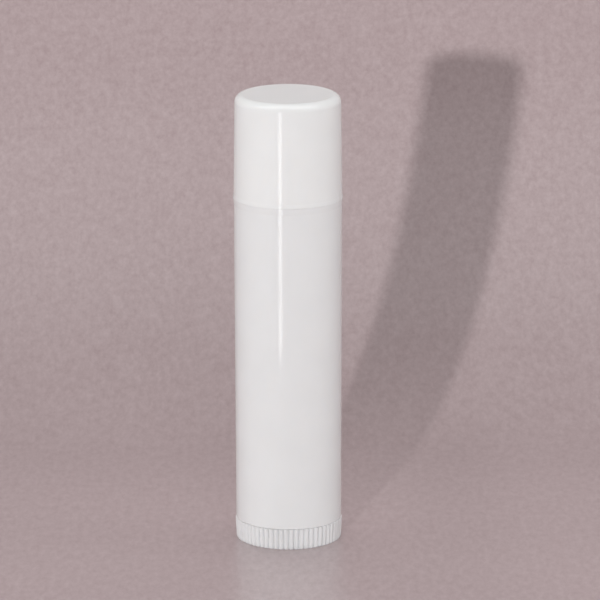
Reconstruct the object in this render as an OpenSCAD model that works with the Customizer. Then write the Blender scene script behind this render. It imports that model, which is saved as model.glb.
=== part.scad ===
// Twist-up lip balm stick: a moulded tube with a pull-off cap, a ribbed thumb wheel at the foot,
// and a threaded spindle that lifts a cup of balm. Millimetres, +Z up, origin at the centre of the foot.
// Wheel and spindle turn together. The cup can't turn in the barrel, so it climbs the thread.

/* [Barrel] */
// Height of the barrel's outer wall, from its foot to the shoulder
barrel_h = 49; // [40:0.5:60]
// Outer diameter at the shoulder
barrel_d = 16.04; // [14.4:0.02:18]
// How much narrower the barrel is at its foot
barrel_taper = 0.28; // [0:0.02:0.6]
// Width of the shoulder, from the barrel's outer wall in to the neck
shoulder_w = 0.87; // [0.8:0.01:1.1]
// Height of the neck above the shoulder
neck_h = 9.4; // [7:0.2:12]
// Thickness of the neck's wall, from its outside to the bore that the balm slides in
neck_t = 0.95; // [0.6:0.05:1.3]
// Bevel at the neck's rim
neck_bevel = 0.3; // [0.1:0.05:0.4]
// Height of the snap bead's centre above the shoulder
bead_z = 2.2; // [1.5:0.1:3]
// Width of the snap bead along the neck
bead_w = 0.8; // [0.5:0.1:1]
// How far the snap bead stands out of the neck
bead_out = 0.12; // [0.05:0.01:0.15]
// Thickness of the web that closes the foot of the bore
web_t = 1.6; // [1.2:0.1:2.5]
// Number of guide ribs in the bore
guide_n = 4; // [2:1:6]
// Width of a guide rib
guide_w = 0.8; // [0.6:0.1:1.2]
// How far a guide rib stands into the bore
guide_out = 0.35; // [0.2:0.05:0.4]
// Distance from the guide ribs' upper ends to the neck's rim
guide_short = 1.5; // [1:0.5:4]
// Bevel at the barrel's foot
foot_bevel = 0.05; // [0.05:0.05:0.3]

/* [Cap] */
// Height of the cap
cap_h = 15.5; // [12:0.1:20]
// How much wider than the barrel's shoulder the cap is, just above its lip
cap_over = 0.08; // [0:0.02:0.6]
// How much narrower the cap is at its upper edge
cap_taper = 0.36; // [0:0.02:0.6]
// Radius of the round at the cap's upper edge
cap_round = 1.2; // [0.4:0.1:1.4]
// Thickness of the cap's end wall
cap_end_t = 1; // [0.8:0.1:1.6]
// How far the bore narrows past the neck's rim
cap_ledge = 0.28; // [0.1:0.02:0.5]
// Gap between the neck's rim and that ledge
cap_rim_gap = 0.3; // [0.1:0.05:0.8]
// Radial play between the neck's bead and the cap's bore
cap_play = 0.06; // [0.04:0.01:0.1]
// Depth of the groove that the bead sits in
snap_groove = 0.12; // [0.08:0.01:0.2]
// Bevel that leads the cap's rim on to the neck
cap_lead_in = 0.2; // [0.1:0.05:0.3]

/* [Seam between cap and barrel] */
// Gap between the shoulder and the cap's rim
seam_gap = 0.03; // [0.02:0.01:0.2]
// How far each lip at the seam stands out
lip_out = 0.12; // [0.04:0.01:0.2]
// Height over which a lip swells
lip_h = 0.45; // [0.3:0.05:0.8]
// Round on each lip's corner
lip_round = 0.04; // [0.03:0.01:0.12]

/* [Thumb wheel] */
// Height of the thumb wheel
wheel_h = 3.15; // [2.6:0.05:4.5]
// How much wider than the barrel's foot the wheel is over its ribs
wheel_over = 0.24; // [0:0.02:0.8]
// How much narrower the wheel is at its foot
wheel_taper = 0.34; // [0:0.02:0.4]
// Gap between the wheel and the barrel
wheel_gap = 0.1; // [0.08:0.01:0.3]
// Number of grip ribs
wheel_ribs = 62; // [30:2:80]
// Depth of the grooves between the grip ribs, at the ribs' upper ends
wheel_rib_depth = 0.44; // [0.2:0.02:0.5]
// Bevel at the ribs' upper ends
wheel_top_bevel = 0.3; // [0.1:0.05:0.5]
// Bevel at the ribs' lower ends
wheel_foot_bevel = 0.15; // [0.05:0.05:0.3]
// Radial thickness of the rim under the grooves
wheel_rim_t = 0.86; // [0.7:0.02:1.4]
// Thickness of the wheel's disc
wheel_disc_t = 1.2; // [0.9:0.1:1.6]
// Diameter of the hub under the disc
hub_d = 7.6; // [7:0.1:9]
// Height of the hub's end above the foot
hub_lift = 0.5; // [0.3:0.1:0.8]
// Number of webs from the hub to the rim
wheel_web_n = 6; // [3:1:8]
// Thickness of a web under the wheel
wheel_web_t = 0.8; // [0.6:0.1:1.2]
// Height of the webs' lower edges above the foot
wheel_web_lift = 0.9; // [0.6:0.1:1.4]
// Diameter of the dimple that the moulding gate leaves in the hub
gate_d = 1.4; // [0.8:0.1:2]
// Depth of that dimple
gate_depth = 0.2; // [0.1:0.05:0.3]

/* [Spindle] */
// Width of the hexagonal foot over its corners
hex_d = 5.2; // [4.6:0.1:5.6]
// Height of the hexagonal foot's end above the wheel's foot
hex_lift = 1.1; // [0.9:0.1:1.6]
// Play round the hexagonal foot
hex_play = 0.03; // [0.02:0.01:0.06]
// Diameter of the journal that runs in the web
journal_d = 5.86; // [5.7:0.02:6.6]
// Radial play round the journal
journal_play = 0.07; // [0.04:0.01:0.1]
// Diameter of the collar that rests on the web
collar_d = 8.4; // [7.6:0.1:9.6]
// Thickness of the collar
collar_t = 0.9; // [0.6:0.1:1.4]
// Play between the collar and the web
collar_play = 0.05; // [0.03:0.01:0.1]
// Distance from the spindle's tip to the neck's rim
tip_short = 4.75; // [3:0.25:8]
// Rise of the cup in one full turn
thread_lead = 3.2; // [2.6:0.1:4]
// Diameter over the thread
thread_d = 4.5; // [4.2:0.1:5]
// Diameter at the thread's root
thread_root_d = 3; // [2.6:0.1:3.4]
// Width of the thread at its crest
thread_crest_w = 0.7; // [0.5:0.05:0.9]
// Width of the thread at its root
thread_root_w = 1.5; // [1.3:0.05:1.7]
// Width of the spindle over the two flats along its mould line
thread_flats_w = 3.8; // [3.5:0.1:4.2]
// Play between the thread and the nut in the cup
thread_play = 0.15; // [0.1:0.01:0.2]

/* [Elevator cup] */
// Height of the cup
cup_h = 6; // [5.5:0.25:9]
// Thickness of the cup's wall
cup_wall = 0.8; // [0.7:0.05:1.2]
// Thickness of the cup's floor
cup_floor_t = 1; // [0.8:0.1:1.6]
// Gap between the collar and the cup at rest
cup_lift = 0.3; // [0.1:0.05:1]
// Radial play between the cup and the bore
cup_play = 0.12; // [0.08:0.01:0.2]
// Play between the guide ribs and what slides past them
guide_play = 0.12; // [0.08:0.01:0.2]
// Height of the nut, from the underside of the cup
nut_h = 5; // [4:0.25:5.25]
// Outer diameter of the nut
nut_d = 6.6; // [6.2:0.1:7.4]
// Number of fins that hold the balm
fin_n = 4; // [2:1:6]
// Thickness of a fin
fin_t = 0.6; // [0.5:0.1:1]
// Height of the fins above the cup's floor
fin_h = 3.5; // [2:0.25:4]

/* [Balm] */
// Radial gap between the balm and the bore
balm_gap = 0.15; // [0.1:0.01:0.3]
// How far the balm's crown stands above the neck's rim
balm_proud = 0.45; // [0:0.05:1.5]
// Height of the balm's domed end
balm_dome_h = 1.2; // [0.4:0.1:3]
// Gap between the balm and the cup that it sits in
balm_seat = 0.05; // [0.02:0.01:0.1]
// Play round the thread in the balm's core
core_play = 0.15; // [0.1:0.01:0.3]
// Gap above the spindle's tip in the balm's core
core_over = 0.5; // [0.2:0.1:1]

/* [Hidden] */

plastic_white = [0.90, 0.89, 0.90];
wheel_white = [0.86, 0.85, 0.86];
inner_white = [0.93, 0.93, 0.92];
balm_ivory = [0.95, 0.91, 0.78];

// Facets of a full turn in the preview of round pieces
$fn = 120;
// Steps along a round
round_steps = 10;
// Points along one grip rib
rib_points = 6;
// Rows of points in one turn of the thread
thread_rows = 24;
// Overlap that lets a cut pass a face, or sinks a rib in its wall
over = 0.4;

// Heights, from the foot up
barrel_z = wheel_h + wheel_gap;
shoulder_z = barrel_z + barrel_h;
rim_z = shoulder_z + neck_h;
web_z = barrel_z + web_t;
collar_z = web_z + collar_play;
cup_z = collar_z + collar_t + cup_lift;
tip_z = rim_z - tip_short;
crown_z = rim_z + balm_proud;

// Outer diameters
barrel_foot_d = barrel_d - barrel_taper;
cap_d = barrel_d + cap_over;
cap_top_d = cap_d - cap_taper;
wheel_d = barrel_foot_d + wheel_over;
wheel_foot_d = wheel_d - wheel_taper;

// Radii
neck_r = barrel_d / 2 - shoulder_w;
bore_r = neck_r - neck_t;
cap_bore_r = neck_r + bead_out + cap_play;
cup_r = bore_r - cup_play;
cup_inner_r = cup_r - cup_wall;
balm_r = bore_r - balm_gap;
nut_r = nut_d / 2;
guide_clear_r = bore_r - guide_out - guide_play;

// Points of a circular arc about centre c, from angle a0 to a1
function arc(c, r, a0, a1) = [for (i = [0:round_steps])
    let (a = a0 + (a1 - a0) * i / round_steps)
    c + r * [cos(a), sin(a)]
];

// Blocks that point outward, spread evenly round the axis
module spokes(n, r_in, r_out, w, z0, z1, turn = 0) {
    for (i = [0:n - 1])
        rotate([0, 0, turn + i * 360 / n])
            translate([r_in, -w / 2, z0])
                cube([r_out - r_in, w, z1 - z0]);
}

// A solid left-hand screw with a trapezoid thread, along +Z from z0 to z1.
// Each row holds the four corners of the thread's section, and the root closes on the next turn.
module screw_thread(z0, z1, root_r, major_r, root_w, crest_w, flat_r) {
    n = thread_rows;
    rise = thread_lead / n;
    first = ceil((z0 + root_w) / rise);
    rows = floor((z1 - root_w) / rise) - first;
    low = 4 * (rows + 1);
    high = low + n;

    function angle(k) = -(first + k) * 360 / n;
    function at(r, k, z) = [r * cos(angle(k)), r * sin(angle(k)), z];
    function crest_r(k) = min(major_r, flat_r / max(abs(cos(angle(k))), 0.01));
    function mid(k) = (first + k) * rise;

    points = concat(
        [for (k = [0:rows]) each [
            at(root_r, k, mid(k) - root_w / 2),
            at(crest_r(k), k, mid(k) - crest_w / 2),
            at(crest_r(k), k, mid(k) + crest_w / 2),
            at(root_r, k, mid(k) + root_w / 2)
        ]],
        [for (k = [0:n - 1]) at(root_r, k, z0)],
        [for (k = [0:n - 1]) at(root_r, rows + k, z1)]
    );

    thread_faces = [for (k = [0:rows - 1]) each [for (c = [0:2]) each [
        [4 * k + c, 4 * k + c + 4, 4 * k + c + 5],
        [4 * k + c, 4 * k + c + 5, 4 * k + c + 1]
    ]]];
    root_faces = [for (k = [0:rows - n - 1])
        [4 * k + 3, 4 * k + 7, 4 * (k + n + 1), 4 * (k + n)]
    ];
    low_faces = [for (k = [0:n - 1]) k < n - 1
        ? [low + k, low + k + 1, 4 * k + 4, 4 * k]
        : [low + k, low, 0, 3, 4 * k + 4, 4 * k]
    ];
    high_faces = [for (k = [0:n - 1]) let (row = 4 * (rows - n + k) + 3) k == 0
        ? [row + 4, high + 1, high, 4 * rows + 3, 4 * rows, row]
        : [row, row + 4, high + (k + 1) % n, high + k]
    ];
    ends = [
        [0, 1, 2, 3],
        [for (c = [3:-1:0]) 4 * rows + c],
        [for (k = [n - 1:-1:0]) low + k],
        [for (k = [0:n - 1]) high + k]
    ];
    polyhedron(points, concat(thread_faces, root_faces, low_faces, high_faces, ends), convexity = 10);
}

module cap() {
    z0 = shoulder_z + seam_gap;
    z1 = z0 + cap_h;
    lip_r = cap_d / 2 + lip_out;
    bead = shoulder_z + bead_z;
    groove_r = cap_bore_r + snap_groove;
    ledge_z = rim_z + cap_rim_gap;
    top_r = cap_bore_r - cap_ledge;
    color(plastic_white)
        rotate_extrude()
            polygon(concat(
                [
                    [cap_bore_r + cap_lead_in, z0],
                    [lip_r - lip_round, z0],
                    [lip_r, z0 + lip_round],
                    [cap_d / 2, z0 + lip_h]
                ],
                arc([cap_top_d / 2 - cap_round, z1 - cap_round], cap_round, 0, 90),
                [
                    [0, z1],
                    [0, z1 - cap_end_t],
                    [top_r, z1 - cap_end_t],
                    [top_r, ledge_z],
                    [cap_bore_r, ledge_z],
                    [cap_bore_r, bead + bead_w],
                    [groove_r, bead + bead_w / 2],
                    [groove_r, bead - bead_w / 2],
                    [cap_bore_r, bead - bead_w],
                    [cap_bore_r, z0 + cap_lead_in]
                ]
            ));
}

module barrel() {
    lip_r = barrel_d / 2 + lip_out;
    hole_r = journal_d / 2 + journal_play;
    bead = shoulder_z + bead_z;
    color(plastic_white) {
        rotate_extrude()
            polygon([
                [hole_r, barrel_z],
                [barrel_foot_d / 2 - foot_bevel, barrel_z],
                [barrel_foot_d / 2, barrel_z + foot_bevel],
                [barrel_d / 2, shoulder_z - lip_h],
                [lip_r, shoulder_z - lip_round],
                [lip_r - lip_round, shoulder_z],
                [neck_r, shoulder_z],
                [neck_r, bead - bead_w / 2],
                [neck_r + bead_out, bead],
                [neck_r, bead + bead_w / 2],
                [neck_r, rim_z - neck_bevel],
                [neck_r - neck_bevel, rim_z],
                [bore_r, rim_z],
                [bore_r, web_z],
                [hole_r, web_z]
            ]);
        spokes(guide_n, bore_r - guide_out, bore_r + over, guide_w, web_z - over, rim_z - guide_short);
    }
}

// The wheel's outline: round grip ribs that meet in sharp grooves
module rib_outline() {
    count = wheel_ribs * rib_points;
    polygon([for (i = [0:count - 1])
        let (
            a = i * 360 / count,
            dip = wheel_rib_depth * (1 - abs(cos(i * 180 / rib_points)))
        )
        (wheel_d / 2 - dip) * [cos(a), sin(a)]
    ]);
}

module thumb_wheel() {
    rim_inner_r = wheel_d / 2 - wheel_rib_depth - wheel_rim_t;
    disc_z = wheel_h - wheel_disc_t;
    color(wheel_white)
        difference() {
            intersection() {
                linear_extrude(wheel_h)
                    rib_outline();
                rotate_extrude()
                    polygon([
                        [0, 0],
                        [wheel_foot_d / 2 - wheel_foot_bevel, 0],
                        [wheel_foot_d / 2, wheel_foot_bevel],
                        [wheel_d / 2, wheel_h - wheel_top_bevel],
                        [wheel_d / 2 - wheel_top_bevel, wheel_h],
                        [0, wheel_h]
                    ]);
            }
            difference() {
                translate([0, 0, -over])
                    cylinder(r = rim_inner_r, h = disc_z + over);
                translate([0, 0, hub_lift])
                    cylinder(d = hub_d, h = disc_z);
                spokes(wheel_web_n, 0, wheel_d / 2, wheel_web_t, wheel_web_lift, disc_z + over);
            }
            translate([0, 0, hub_lift - over])
                cylinder(d = gate_d, h = gate_depth + over);
            translate([0, 0, hex_lift - hex_play])
                cylinder(r = hex_d / 2 + hex_play, h = wheel_h, $fn = 6);
        }
}

module lead_screw() {
    color(inner_white) {
        translate([0, 0, hex_lift])
            cylinder(d = hex_d, h = wheel_h - hex_lift, $fn = 6);
        translate([0, 0, wheel_h])
            cylinder(d = journal_d, h = collar_z - wheel_h);
        translate([0, 0, collar_z])
            cylinder(d = collar_d, h = collar_t);
        screw_thread(
            z0 = collar_z + collar_t / 2,
            z1 = tip_z,
            root_r = thread_root_d / 2,
            major_r = thread_d / 2,
            root_w = thread_root_w,
            crest_w = thread_crest_w,
            flat_r = thread_flats_w / 2
        );
    }
}

module elevator_cup() {
    color(inner_white)
        difference() {
            union() {
                translate([0, 0, cup_z])
                    rotate_extrude()
                        polygon([
                            [0, 0],
                            [cup_r, 0],
                            [cup_r, cup_h],
                            [cup_inner_r, cup_h],
                            [cup_inner_r, cup_floor_t],
                            [nut_r, cup_floor_t],
                            [nut_r, nut_h],
                            [0, nut_h]
                        ]);
                fins(0);
            }
            screw_thread(
                z0 = cup_z - 2 * thread_lead,
                z1 = cup_z + nut_h + 2 * thread_lead,
                root_r = thread_root_d / 2 + thread_play,
                major_r = thread_d / 2 + thread_play,
                root_w = thread_root_w + 2 * thread_play,
                crest_w = thread_crest_w + 2 * thread_play,
                flat_r = thread_d
            );
            spokes(guide_n, guide_clear_r, bore_r, guide_w + 2 * guide_play, cup_z - over, cup_z + cup_h + over);
        }
}

// The fins between the nut and the cup's wall, grown all round by a gap
module fins(gap) {
    z0 = cup_z + cup_floor_t;
    spokes(
        fin_n, nut_r - over, cup_inner_r + over, fin_t + 2 * gap,
        z0 - over, z0 + fin_h + gap, turn = 180 / fin_n
    );
}

module balm() {
    foot_z = cup_z + cup_floor_t + balm_seat;
    seat_z = cup_z + cup_h + balm_seat;
    nut_clear_r = nut_r + balm_seat;
    nut_clear_z = cup_z + nut_h + balm_seat;
    core_r = thread_d / 2 + core_play;
    core_z = tip_z + core_over;
    // The dome is part of a sphere through the balm's edge and its crown
    dome_r = (balm_r * balm_r + balm_dome_h * balm_dome_h) / (2 * balm_dome_h);
    dome_half = asin(balm_r / dome_r);
    color(balm_ivory)
        difference() {
            rotate_extrude()
                polygon(concat(
                    [
                        [nut_clear_r, foot_z],
                        [cup_inner_r - balm_seat, foot_z],
                        [cup_inner_r - balm_seat, seat_z],
                        [balm_r, seat_z]
                    ],
                    arc([0, crown_z - dome_r], dome_r, 90 - dome_half, 90),
                    [
                        [0, core_z],
                        [core_r, core_z],
                        [core_r, nut_clear_z],
                        [nut_clear_r, nut_clear_z]
                    ]
                ));
            fins(balm_seat);
            spokes(guide_n, guide_clear_r, bore_r, guide_w + 2 * guide_play, seat_z - over, crown_z);
        }
}

cap();
barrel();
thumb_wheel();
lead_screw();
elevator_cup();
balm();
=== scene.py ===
import math

import bmesh
import bpy
from mathutils import Matrix, Vector


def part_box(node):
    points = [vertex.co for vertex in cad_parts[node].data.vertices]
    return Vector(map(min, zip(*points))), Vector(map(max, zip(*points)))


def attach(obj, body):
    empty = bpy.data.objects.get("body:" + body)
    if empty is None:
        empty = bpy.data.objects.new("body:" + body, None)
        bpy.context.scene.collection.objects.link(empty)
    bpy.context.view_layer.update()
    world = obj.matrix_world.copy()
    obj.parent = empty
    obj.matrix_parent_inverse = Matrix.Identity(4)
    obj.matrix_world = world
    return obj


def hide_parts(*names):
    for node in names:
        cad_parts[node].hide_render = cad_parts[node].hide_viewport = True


# Looks for a twist-up lip balm stick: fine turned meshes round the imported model, in moulded plastic
# and wax. Sizes of the object are in millimetres, and become metres as each mesh is made.

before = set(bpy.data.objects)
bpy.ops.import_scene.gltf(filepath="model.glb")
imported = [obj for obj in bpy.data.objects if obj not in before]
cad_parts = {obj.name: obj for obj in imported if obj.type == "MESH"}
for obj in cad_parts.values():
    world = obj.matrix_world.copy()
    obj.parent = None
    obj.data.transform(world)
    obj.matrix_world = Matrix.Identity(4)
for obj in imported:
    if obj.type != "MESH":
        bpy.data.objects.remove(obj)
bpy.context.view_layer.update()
scene = bpy.context.scene

MM = 0.001
TURN = 2 * math.pi


def span(node):
    """Lowest and highest corner of a CAD node, in millimetres."""
    low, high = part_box(node)
    return low / MM, high / MM


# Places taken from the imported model
cap_high = span("cap")[1]
barrel_low, barrel_high = span("barrel")
wheel_low, wheel_high = span("thumb_wheel")
screw_low, screw_high = span("lead_screw")
cup_low, cup_high = span("elevator_cup")
balm_low, balm_high = span("balm")

# Barrel
neck_h = 9.4
shoulder_z = barrel_high.z - neck_h
barrel_r = 8.02
barrel_foot_r = 7.88
foot_round = 0.05
foot_z = wheel_high.z + 0.04
lip_r = 8.13
lip_h = 0.6
lip_fall_h = 1.0
lip_round = 0.01
lip_root_round = 0.4
neck_r = 7.15
neck_round = 0.1
neck_top_round = 0.3
bead_z = shoulder_z + 2.2
bead_half_w = 0.4
bead_out = 0.12
bead_round = 0.3
bore_r = 6.2
bore_mouth_round = 0.15
web_z = barrel_low.z + 1.6
journal_hole_r = 3.0
journal_hole_round = 0.1
guide_n = 4
guide_w = 0.8
guide_inner_r = 5.85
guide_top_z = barrel_high.z - 1.5

# Cap
cap_foot_z = shoulder_z + 0.01
cap_r = 8.06
cap_top_r = 7.88
cap_round = 1.2
cap_end_t = 1.0
cap_end_round = 0.3
cap_bore_r = 7.33
cap_lead_in = 0.2
cap_lead_in_round = 0.1
cap_upper_bore_r = 7.05
cap_ledge_z = barrel_high.z + 0.3
cap_groove_r = 7.45
cap_groove_round = 0.2

# Thumb wheel
wheel_foot_r = 7.83
wheel_ribs = 62
wheel_rib_depth = 0.32
wheel_top_round = 0.3
wheel_foot_round = 0.15
wheel_rim_inner_r = 6.7
wheel_rim_round = 0.12
disc_z = wheel_high.z - 1.2
hub_r = 3.8
hub_z = 0.5
web_n = 6
web_w = 0.8
web_low_z = 0.9
gate_r = 0.7
gate_depth = 0.2
hex_socket_r = 2.63
hex_socket_z = 1.07

# Spindle
hex_r = 2.6
hex_bevel = 0.15
journal_r = 2.93
collar_low_z = web_z + 0.05
collar_z = collar_low_z + 0.9
collar_round = 0.1
thread_lead = 3.2
thread_root_r = 1.5
thread_major_r = 2.25
thread_root_w = 1.5
thread_crest_w = 0.7
thread_crest_round = 0.1
thread_flat_r = 1.9
# The thread grows out of its root over a third of a turn at each end
thread_run_out = thread_lead / 3
tip_bevel = 0.3

# Balm
balm_dome_h = 1.2
balm_edge_round = 0.25
balm_groove_w = 1.04
balm_groove_r = 5.73
balm_plug_r = 5.23
balm_seat_z = cup_high.z + 0.05
nut_clear_r = 3.35
nut_clear_z = cup_low.z + 5.05
balm_core_r = 2.4
balm_core_z = screw_high.z + 0.5
fin_n = 4
fin_slot_w = 0.7
fin_slot_z = cup_low.z + 4.55

# Small round on an edge that the moulding leaves crisp
crisp = 0.06
# Points round a turned piece, along one grip rib, across one spot, and round one turn of the thread
AROUND = 256
RIB_POINTS = 12
SPOT_POINTS = 3
THREAD_STEPS = 64
# Points nearer than this, in metres, are one point
MERGE = 2e-7
# Edges sharper than this stay sharp in the shading
SHARP = math.radians(32)


def at(r, angle, z):
    """A point from its radius, its angle round the axis and its height."""
    return Vector((r * math.cos(angle), r * math.sin(angle), z))


def arc(centre, r, first, sweep, steps):
    """Points (r, z) along an arc."""
    angles = [first + sweep * step / steps for step in range(steps + 1)]
    return [centre + r * Vector((math.cos(angle), math.sin(angle))) for angle in angles]


def rounded(corners, steps=5):
    """The outline through corners (r, z) or (r, z, radius), with an arc where there is a radius. Its ends
    count as neighbours, and a corner without a radius may be there only to turn the arc beside it."""
    points = []
    for before, corner, after in zip(corners[-1:] + corners[:-1], corners, corners[1:] + corners[:1]):
        here = Vector(corner[:2])
        if len(corner) == 2:
            points.append(here)
            continue
        radius = corner[2]
        back = (Vector(before[:2]) - here).normalized()
        ahead = (Vector(after[:2]) - here).normalized()
        half = back.angle(ahead) / 2
        centre = here + (back + ahead).normalized() * radius / math.sin(half)
        reach = radius / math.tan(half)
        start = here + back * reach - centre
        end = here + ahead * reach - centre
        first = math.atan2(start.y, start.x)
        sweep = math.remainder(math.atan2(end.y, end.x) - first, TURN)
        points += arc(centre, radius, first, sweep, steps)
    return points


def ring(r, z, count=AROUND):
    """A circle of points."""
    return [at(r, TURN * i / count, z) for i in range(count)]


def hexagon(r, z, count=AROUND):
    """Points along a hexagon whose corners are at radius r."""
    side = TURN / 6
    flat = r * math.cos(side / 2)
    points = []
    for i in range(count):
        angle = TURN * i / count
        points.append(at(flat / math.cos(math.remainder(angle - side / 2, side)), angle, z))
    return points


def spotted_ring(r, z, spots, spot_r=None, spot_z=None, count=AROUND):
    """A ring that takes another radius or height within each spot. A spot is (angle, width), and its
    sides are parallel."""
    spot_r = r if spot_r is None else spot_r
    spot_z = z if spot_z is None else spot_z
    # Each spot has one more point on either side of it
    between = count // len(spots) - SPOT_POINTS - 2
    points = []
    for (angle, width), (next_angle, next_width) in zip(spots, spots[1:] + spots[:1]):
        side = math.asin(width / 2 / r)
        gap = (next_angle - angle) % TURN - side - math.asin(next_width / 2 / r)
        points.append(at(r, angle - side, z))
        for k in range(SPOT_POINTS):
            across = width * (k / (SPOT_POINTS - 1) - 0.5)
            out = math.sqrt(r * r - across * across) if spot_r == r else spot_r
            points.append(at(math.hypot(out, across), angle + math.atan2(across, out), spot_z))
        points += [at(r, angle + side + gap * k / (between + 1), z) for k in range(between + 1)]
    first = min(range(len(points)), key=lambda i: abs(math.atan2(points[i].y, points[i].x)))
    return points[first:] + points[:first]


def evenly(count, width, turn=0.0):
    """Spots spread evenly round the axis."""
    return [(turn + TURN * i / count, width) for i in range(count)]


def build(name, sheets, closed=False):
    """One closed mesh from sheets of rows of points. A sheet is (rows, wraps), where wraps joins each
    row's ends. With closed, the last row of each sheet joins its first row as well."""
    mesh = bmesh.new()
    for rows, wraps in sheets:
        made = [[mesh.verts.new(point * MM) for point in row] for row in rows]
        for low, high in zip(made, made[1:] + made[:1] if closed else made[1:]):
            for i in range(len(low) if wraps else len(low) - 1):
                j = (i + 1) % len(low)
                mesh.faces.new((low[i], low[j], high[j], high[i]))
    bmesh.ops.remove_doubles(mesh, verts=mesh.verts, dist=MERGE)
    loose = [edge for edge in mesh.edges if not edge.link_faces]
    bmesh.ops.delete(mesh, geom=loose, context="EDGES")
    bmesh.ops.recalc_face_normals(mesh, faces=mesh.faces)
    data = bpy.data.meshes.new(name)
    mesh.to_mesh(data)
    mesh.free()
    data.shade_smooth()
    data.set_sharp_from_angle(angle=SHARP)
    piece = bpy.data.objects.new(name, data)
    scene.collection.objects.link(piece)
    shading = piece.modifiers.new("shading_by_area", "WEIGHTED_NORMAL")
    shading.keep_sharp = True
    return piece


# The cap: a turned shell, with the bore, snap groove and ledge inside
def cap_shell():
    line = rounded([
        (0, cap_high.z - cap_end_t),
        (cap_upper_bore_r, cap_high.z - cap_end_t, cap_end_round),
        (cap_upper_bore_r, cap_ledge_z, crisp),
        (cap_bore_r, cap_ledge_z, crisp),
        (cap_bore_r, bead_z + 2 * bead_half_w, cap_groove_round),
        (cap_groove_r, bead_z + bead_half_w, cap_groove_round),
        (cap_groove_r, bead_z - bead_half_w, cap_groove_round),
        (cap_bore_r, bead_z - 2 * bead_half_w, cap_groove_round),
        (cap_bore_r, cap_foot_z + cap_lead_in, cap_lead_in_round),
        (cap_bore_r + cap_lead_in, cap_foot_z, crisp),
        (lip_r, cap_foot_z, lip_round),
        (cap_r, cap_foot_z + lip_h, lip_root_round),
        (cap_top_r, cap_high.z, cap_round),
        (0, cap_high.z),
    ], steps=8)
    return build("cap_shell", [([ring(r, z) for r, z in line], True)])


# The barrel: a tube with its neck and snap bead, the guide ribs in its bore and the web at its foot
def barrel_tube():
    line = rounded([
        (journal_hole_r, web_z, journal_hole_round),
        (journal_hole_r, foot_z, journal_hole_round),
        (barrel_foot_r, foot_z, foot_round),
        (barrel_r, shoulder_z - lip_fall_h, lip_root_round),
        (lip_r, shoulder_z, lip_round),
        (neck_r, shoulder_z, neck_round),
        (neck_r, bead_z - bead_half_w, neck_round),
        (neck_r + bead_out, bead_z, bead_round),
        (neck_r, bead_z + bead_half_w, neck_round),
        (neck_r, barrel_high.z, neck_top_round),
        (bore_r, barrel_high.z, bore_mouth_round),
        (bore_r, web_z),
    ], steps=6)
    guides = evenly(guide_n, guide_w)
    rows = [ring(r, z) for r, z in line[:-1]]
    rows.append(spotted_ring(bore_r, guide_top_z, guides))
    rows.append(spotted_ring(bore_r, guide_top_z, guides, spot_r=guide_inner_r))
    rows.append(spotted_ring(bore_r, web_z, guides, spot_r=guide_inner_r))
    return build("barrel_tube", [(rows, True)], closed=True)


# The thumb wheel: round grip ribs that meet in sharp grooves, over a disc with a hub and webs under it
def wheel_knob():
    count = wheel_ribs * RIB_POINTS
    webs = evenly(web_n, web_w)

    def ribbed(limit_r, z):
        crest_r = wheel_foot_r + (wheel_high.x - wheel_foot_r) * z / wheel_high.z
        points = []
        for i in range(count):
            dip = wheel_rib_depth * (1 - abs(math.cos(math.pi * i / RIB_POINTS)))
            points.append(at(min(crest_r - dip, limit_r), TURN * i / count, z))
        return points

    def webbed(r, z, spot_z):
        return spotted_ring(r, z, webs, spot_z=spot_z, count=count)

    rim = rounded([
        (hex_socket_r, wheel_high.z),
        (wheel_rim_inner_r, disc_z),
        (wheel_rim_inner_r, wheel_low.z, wheel_rim_round),
        (wheel_foot_r, wheel_low.z, wheel_foot_round),
        (wheel_high.x, wheel_high.z, wheel_top_round),
    ], steps=5)[2:]
    rows = [
        ring(0, hub_z + gate_depth, count),
        ring(gate_r - crisp, hub_z + gate_depth, count),
        ring(gate_r, hub_z, count),
        webbed(hub_r - crisp, hub_z, hub_z),
        webbed(hub_r, hub_z + crisp, hub_z + crisp),
        webbed(hub_r, disc_z, web_low_z),
        webbed(wheel_rim_inner_r, disc_z, web_low_z),
    ]
    rows += [ribbed(r, z) for r, z in rim]
    rows += [
        hexagon(hex_socket_r, wheel_high.z, count),
        hexagon(hex_socket_r, hex_socket_z, count),
        ring(0, hex_socket_z, count),
    ]
    return build("wheel_knob", [(rows, True)])


# The spindle: hexagonal foot, journal, collar and a left-hand thread with two flats along its mould line
def thread_rows(low, high):
    """Rows along the helix. Beyond the thread's ends they fall together on the circles at low and high."""
    section = rounded([
        (thread_root_r, -thread_root_w / 2),
        (thread_major_r, -thread_crest_w / 2, thread_crest_round),
        (thread_major_r, thread_crest_w / 2, thread_crest_round),
        (thread_root_r, thread_root_w / 2),
        (thread_root_r, thread_lead - thread_root_w / 2),
    ], steps=3)
    rise = thread_lead / THREAD_STEPS
    first = math.floor((low - thread_lead) / rise)
    last = math.ceil((high + thread_lead) / rise)
    # Keeps the radius of a flat finite where the flat is side on
    least_cosine = 0.01
    rows = []
    for k in range(first, last + 1):
        angle = -TURN * k / THREAD_STEPS
        flat_r = thread_flat_r / max(abs(math.cos(angle)), least_cosine)
        inside = min(k * rise - low, high - k * rise) - thread_root_w
        grown = min(max(inside / thread_run_out, 0), 1)
        row = []
        for r, along in section:
            z = min(max(k * rise + along, low), high)
            row.append(at(thread_root_r + (min(r, flat_r) - thread_root_r) * grown, angle, z))
        rows.append(row)
    return rows


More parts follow.
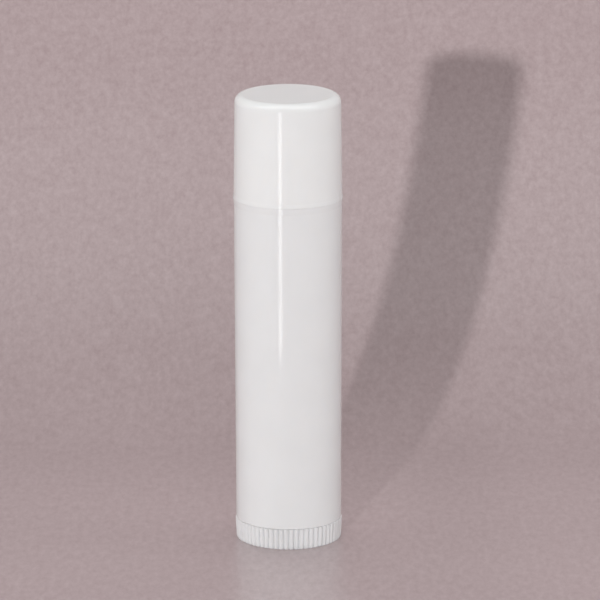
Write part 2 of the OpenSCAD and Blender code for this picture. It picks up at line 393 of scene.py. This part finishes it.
def spindle():
    line = rounded([
        (0, wheel_high.z),
        (journal_r, wheel_high.z, crisp),
        (journal_r, collar_low_z, crisp / 2),
        (screw_high.x, collar_low_z, collar_round),
        (screw_high.x, collar_z, collar_round),
        (thread_root_r, collar_z),
    ])[1:]
    tip_z = screw_high.z - tip_bevel
    foot = [
        ring(0, screw_low.z, THREAD_STEPS),
        hexagon(hex_r - hex_bevel, screw_low.z, THREAD_STEPS),
        hexagon(hex_r, screw_low.z + hex_bevel, THREAD_STEPS),
        hexagon(hex_r, wheel_high.z, THREAD_STEPS),
    ]
    foot += [ring(r, z, THREAD_STEPS) for r, z in line]
    tip = [
        ring(thread_root_r, tip_z, THREAD_STEPS),
        ring(thread_root_r - tip_bevel, screw_high.z, THREAD_STEPS),
        ring(0, screw_high.z, THREAD_STEPS),
    ]
    return build("spindle", [(foot, True), (thread_rows(collar_z, tip_z), False), (tip, True)])


# The balm: a cast stick with a low dome, four grooves along it, and a plug that fills the cup
def balm_stick():
    grooves = evenly(guide_n, balm_groove_w)
    slots = evenly(fin_n, fin_slot_w, turn=TURN / 8)
    dome_r = (balm_high.x ** 2 + balm_dome_h ** 2) / (2 * balm_dome_h)

    def dome_z(r):
        return balm_high.z - dome_r + math.sqrt(dome_r ** 2 - r ** 2)

    def grooved(r, z):
        return spotted_ring(r, z, grooves, spot_r=balm_groove_r, spot_z=min(z, dome_z(balm_groove_r)))

    edge = rounded([
        (balm_groove_r, balm_seat_z),
        (balm_high.x, balm_seat_z),
        (balm_high.x, dome_z(balm_high.x), balm_edge_round),
        (balm_groove_r, dome_z(balm_groove_r)),
    ])[1:-1]
    rows = [
        ring(0, balm_core_z),
        ring(balm_core_r, balm_core_z),
        ring(balm_core_r, nut_clear_z),
        ring(nut_clear_r, nut_clear_z),
        spotted_ring(nut_clear_r, balm_low.z, slots, spot_z=fin_slot_z),
        spotted_ring(balm_plug_r, balm_low.z, slots, spot_z=fin_slot_z),
        ring(balm_plug_r, balm_seat_z),
    ]
    rows += [grooved(r, z) for r, z in edge]
    dome_steps = 24
    dome_radii = [balm_groove_r * (1 - k / dome_steps) for k in range(dome_steps + 1)]
    rows += [ring(r, dome_z(r)) for r in dome_radii]
    return build("balm_stick", [(rows, True)])


class Graph:
    """The node tree of a material or a world. An input is a value, or the output of another node."""

    def __init__(self, owner):
        self.owner = owner
        owner.use_nodes = True
        self.tree = owner.node_tree
        self.tree.nodes.clear()

    def add(self, kind, inputs, **settings):
        """A new node, with its inputs and settings."""
        node = self.tree.nodes.new(kind)
        for key, value in settings.items():
            setattr(node, key, value)
        for key, value in inputs.items():
            if isinstance(value, bpy.types.NodeSocket):
                self.tree.links.new(value, node.inputs[key])
            else:
                node.inputs[key].default_value = value
        return node

    def place(self, stretch=(1, 1, 1)):
        """Points on the object in metres, stretched for a texture that is longer one way."""
        coordinates = self.add("ShaderNodeTexCoord", {}).outputs["Object"]
        return self.add("ShaderNodeMapping", {"Vector": coordinates, "Scale": stretch}).outputs["Vector"]

    def noise(self, place, size, detail=2.0, rough=0.5):
        """Noise whose features are about size metres across."""
        inputs = {"Vector": place, "Scale": 1 / size, "Detail": detail, "Roughness": rough}
        return self.add("ShaderNodeTexNoise", inputs).outputs["Fac"]

    def ramp(self, value, *stops):
        """The colour that goes with a value from 0 to 1, between two stops. A stop is (value, colour)."""
        node = self.add("ShaderNodeValToRGB", {"Fac": value})
        for element, (position, colour) in zip(node.color_ramp.elements, stops):
            element.position = position
            element.color = (*colour, 1)
        return node.outputs["Color"]

    def between(self, value, low, high):
        """A value from 0.3 to 0.7, as noise gives it, brought to the range low to high."""
        inputs = {"Value": value, "From Min": 0.3, "From Max": 0.7, "To Min": low, "To Max": high}
        return self.add("ShaderNodeMapRange", inputs).outputs["Result"]

    def bump(self, height, depth, below=None):
        """A bump of that depth in metres, on top of another bump."""
        inputs = {"Height": height, "Distance": depth, "Strength": 1.0}
        if below:
            inputs["Normal"] = below
        return self.add("ShaderNodeBump", inputs).outputs["Normal"]

    def either(self, one, other):
        """1 where one or the other is 1, of two outputs that are 0 or 1."""
        return self.add("ShaderNodeMath", {0: one, 1: other}, operation="MAXIMUM").outputs["Value"]

    def finish(self, inputs):
        """The material, with a surface that has these inputs."""
        surface = self.add("ShaderNodeBsdfPrincipled", inputs, subsurface_method="RANDOM_WALK")
        self.add("ShaderNodeOutputMaterial", {"Surface": surface.outputs["BSDF"]})
        return self.owner


def moulded_plastic(name, light, dark, gloss, dull, scatter, grain):
    """Moulded polypropylene: faint clouding, a fine grain, slow sink waves and draw lines along the mould.
    Its roughness runs from gloss to dull. Scatter and grain are a length and a depth in metres."""
    graph = Graph(bpy.data.materials.new(name))
    place = graph.place()
    cloud = graph.noise(place, size=0.006)
    lines = graph.noise(graph.place(stretch=(1, 1, 0.02)), size=0.0004)
    smear = graph.noise(graph.place(stretch=(1, 1, 0.3)), size=0.003, detail=4.0)
    waves = graph.bump(graph.noise(place, size=0.004), depth=6e-6)
    drawn = graph.bump(lines, depth=6e-7, below=waves)
    return graph.finish({
        "Base Color": graph.ramp(cloud, (0.35, dark), (0.65, light)),
        "Roughness": graph.between(smear, gloss, dull),
        "Normal": graph.bump(graph.noise(place, size=0.0002), depth=grain, below=drawn),
        "IOR": 1.49,
        "Subsurface Weight": 1.0,
        "Subsurface Radius": (1.0, 0.97, 0.94),
        "Subsurface Scale": scatter,
    })


def wax(name):
    """Poured balm: cloudy ivory, with a dull bloom, fine pores and slow waves from the pouring."""
    graph = Graph(bpy.data.materials.new(name))
    place = graph.place()
    cloud = graph.noise(place, size=0.005, detail=5.0)
    bloom = graph.noise(place, size=0.0012, detail=4.0)
    pores = graph.noise(place, size=0.0003, detail=3.0)
    waves = graph.bump(graph.noise(place, size=0.005), depth=4e-5)
    return graph.finish({
        "Base Color": graph.ramp(cloud, (0.3, (0.80, 0.72, 0.50)), (0.7, (0.88, 0.82, 0.64))),
        "Roughness": graph.between(bloom, low=0.38, high=0.6),
        "Normal": graph.bump(pores, depth=8e-6, below=waves),
        "IOR": 1.44,
        "Subsurface Weight": 0.6,
        "Subsurface Radius": (1.0, 0.8, 0.5),
        "Subsurface Scale": 0.002,
    })


# The cap and the tube are one white plastic. The cap's colour is set lighter than the tube's as painted
# light, standing in for the brighter light that falls on the cap.
cap_plastic_painted_lighter = moulded_plastic(
    "cap_plastic_painted_lighter", light=(0.870, 0.884, 0.881), dark=(0.856, 0.870, 0.867),
    gloss=0.07, dull=0.12, scatter=0.0001, grain=5e-7)
tube_plastic = moulded_plastic(
    "tube_plastic", light=(0.833, 0.845, 0.847), dark=(0.819, 0.831, 0.833),
    gloss=0.07, dull=0.12, scatter=0.0001, grain=5e-7)
wheel_plastic = moulded_plastic(
    "wheel_plastic", light=(0.794, 0.805, 0.810), dark=(0.769, 0.780, 0.785),
    gloss=0.25, dull=0.35, scatter=0.001, grain=1.5e-6)
inner_plastic = moulded_plastic(
    "inner_plastic", light=(0.86, 0.87, 0.85), dark=(0.83, 0.84, 0.82),
    gloss=0.22, dull=0.32, scatter=0.0006, grain=1e-6)
balm_wax = wax("balm_wax")


def dress(piece, body, node, material):
    """The piece stands for a CAD node, rides on its body and has its finish."""
    piece.data.materials.append(material)
    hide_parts(node)
    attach(piece, body)


dress(cap_shell(), "cap", "cap", cap_plastic_painted_lighter)
dress(barrel_tube(), "barrel", "barrel", tube_plastic)
dress(wheel_knob(), "wheel", "thumb_wheel", wheel_plastic)
dress(spindle(), "wheel", "lead_screw", inner_plastic)
dress(balm_stick(), "elevator", "balm", balm_wax)

# The elevator cup is shown by its own solid
elevator_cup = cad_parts["elevator_cup"]
elevator_cup.data.materials.clear()
elevator_cup.data.materials.append(inner_plastic)


# Floor and backdrop: one sheet of paper that sweeps up behind the object
sweep_y = 42
sweep_r = 90
sweep_top_z = 118
sweep_steps = 32
floor_reach = 1500


def paper_sweep():
    line = [Vector((-floor_reach, 0))]
    line += arc(Vector((sweep_y, sweep_r)), sweep_r, -TURN / 4, TURN / 4, sweep_steps)
    line.append(Vector((sweep_y + sweep_r, sweep_top_z)))
    data = bpy.data.meshes.new("paper_sweep")
    points = [Vector((x, y, z)) * MM for y, z in line for x in (-floor_reach, floor_reach)]
    faces = [(i, i + 1, i + 3, i + 2) for i in range(0, len(points) - 2, 2)]
    data.from_pydata(points, [], faces)
    data.shade_smooth()
    sheet = bpy.data.objects.new("paper_sweep", data)
    scene.collection.objects.link(sheet)
    return sheet


def paper(name, light, dark):
    """Plain paper with a slight sheen and a grain that runs away from the view. The sheet lets light and
    the view through from behind, and everywhere under the wheel, so that the underside is lit."""
    graph = Graph(bpy.data.materials.new(name))
    fibres = graph.noise(graph.place(stretch=(1, 0.4, 1)), size=0.001, detail=6.0, rough=0.7)
    surface = graph.add("ShaderNodeBsdfPrincipled", {
        "Base Color": graph.ramp(fibres, (0.3, dark), (0.7, light)),
        "Roughness": 0.28,
        "Specular IOR Level": 1.0,
        "Normal": graph.bump(fibres, depth=5e-6),
    }).outputs["BSDF"]
    clear = graph.add("ShaderNodeBsdfTransparent", {}).outputs["BSDF"]
    behind = graph.add("ShaderNodeNewGeometry", {}).outputs["Backfacing"]
    reach = graph.add("ShaderNodeVectorMath", {0: graph.place()}, operation="LENGTH").outputs["Value"]
    under = graph.add("ShaderNodeMath", {0: reach, 1: wheel_rim_inner_r * MM}, operation="LESS_THAN")
    open_at = graph.either(behind, under.outputs["Value"])
    both = graph.add("ShaderNodeMixShader", {0: open_at, 1: surface, 2: clear})
    graph.add("ShaderNodeOutputMaterial", {"Surface": both.outputs["Shader"]})
    return graph.owner


mauve_paper = paper("mauve_paper", light=(0.512, 0.421, 0.427), dark=(0.396, 0.306, 0.312))
paper_sweep().data.materials.append(mauve_paper)


# Camera: on the photograph's line of sight, with its long lens
aim = Vector((1.7445, 0, 36.42)) * MM
camera_distance = 0.8
camera_down = math.radians(14.64)
camera_roll = math.radians(-0.1115)

camera_data = bpy.data.cameras.new("camera")
camera_data.lens = 323.0
camera_data.sensor_width = 36
camera_data.clip_start = 0.05
camera_data.clip_end = 5
camera = bpy.data.objects.new("camera", camera_data)
scene.collection.objects.link(camera)
scene.camera = camera
forward = Vector((0, math.cos(camera_down), -math.sin(camera_down)))
camera.rotation_mode = "QUATERNION"
camera.location = aim - forward * camera_distance
looking = forward.to_track_quat("-Z", "Y").to_matrix() @ Matrix.Rotation(camera_roll, 3, "Z")
camera.rotation_quaternion = looking.to_quaternion()


# Light: a low key lamp a little left of the camera, soft boxes all round, two lamps for the gloss alone,
# and the world. Lamps point at this height on the axis, in metres, unless they name another.
middle_z = 0.034


def travel(left, up):
    """The direction of light that comes from left of the camera and above the horizon, in degrees."""
    left = math.radians(left)
    up = math.radians(up)
    return Vector((math.sin(left) * math.cos(up), math.cos(left) * math.cos(up), -math.sin(up)))


def lamp(name, kind, direction, distance=0.0, aim_z=middle_z):
    """A lamp that far from a point on the axis at the height aim_z, both in metres."""
    light = bpy.data.lights.new(name, kind)
    holder = bpy.data.objects.new(name, light)
    scene.collection.objects.link(holder)
    holder.rotation_mode = "QUATERNION"
    holder.rotation_quaternion = direction.to_track_quat("-Z", "Y")
    holder.location = Vector((0, 0, aim_z)) - direction * distance
    return holder


key = lamp("key", "SUN", travel(left=14.7, up=9.5))
key.data.energy = 1.38
key.data.angle = math.radians(1.6)
key.visible_glossy = False


def softbox(name, direction, distance, size, radiance, aim_z=middle_z, mirrored=False):
    """A lit rectangle that the view doesn't show. Its radiance is 1 where its face is as bright as white.
    Glossy surfaces show it only with mirrored."""
    width, height = size
    box = lamp(name, "AREA", direction, distance, aim_z)
    box.data.shape = "RECTANGLE"
    box.data.size = width
    box.data.size_y = height
    box.data.energy = radiance * math.pi * width * height
    box.visible_camera = False
    box.visible_glossy = mirrored
    return box


softbox("overhead", Vector((0, 0, -1)), distance=0.6, size=(0.6, 0.6), radiance=0.34, mirrored=True)
softbox("front", travel(left=0, up=25), distance=0.35, size=(0.2, 0.2), radiance=2.02, aim_z=0.05)
softbox("left", travel(left=100, up=12), distance=0.6, size=(0.5, 0.5), radiance=1.56)
softbox("right", travel(left=-100, up=12), distance=0.6, size=(0.5, 0.5), radiance=2.15)
softbox("behind", travel(left=180, up=50), distance=0.9, size=(1.6, 0.4), radiance=1.85)

# Two more that only the gloss of the tube and cap shows: a strip low in front, which draws the streak
# down them, and a wide sheet above, for the cap's round edge
streak = softbox(
    "streak", travel(left=15.9, up=-14.64), distance=0.105, size=(0.0125, 0.044),
    radiance=4.2, aim_z=0.0526, mirrored=True)
crown = softbox(
    "crown", travel(left=0, up=72), distance=0.6, size=(1.6, 0.46), radiance=2.7, mirrored=True)
glossy_pieces = bpy.data.collections.new("glossy_pieces")
for name in ("cap_shell", "barrel_tube"):
    glossy_pieces.objects.link(bpy.data.objects[name])
for box in (streak, crown):
    box.visible_diffuse = False
    box.light_linking.receiver_collection = glossy_pieces


def even_world(strength, paper_colour):
    """A world that lights evenly in white. Seen or mirrored past the paper's edges, it has the paper's
    colour."""
    graph = Graph(bpy.data.worlds.new("world"))
    lit = graph.add("ShaderNodeBackground", {"Color": (1, 1, 1, 1), "Strength": strength})
    seen = graph.add("ShaderNodeBackground", {"Color": (*paper_colour, 1)})
    path = graph.add("ShaderNodeLightPath", {}).outputs
    passed_on = graph.either(path["Is Glossy Ray"], path["Is Transmission Ray"])
    sky = graph.add("ShaderNodeMixShader", {
        0: graph.either(path["Is Camera Ray"], passed_on),
        1: lit.outputs["Background"],
        2: seen.outputs["Background"],
    })
    graph.add("ShaderNodeOutputWorld", {"Surface": sky.outputs["Shader"]})
    return graph.owner


scene.world = even_world(strength=0.27, paper_colour=(0.429, 0.345, 0.350))
scene.view_settings.view_transform = "Standard"
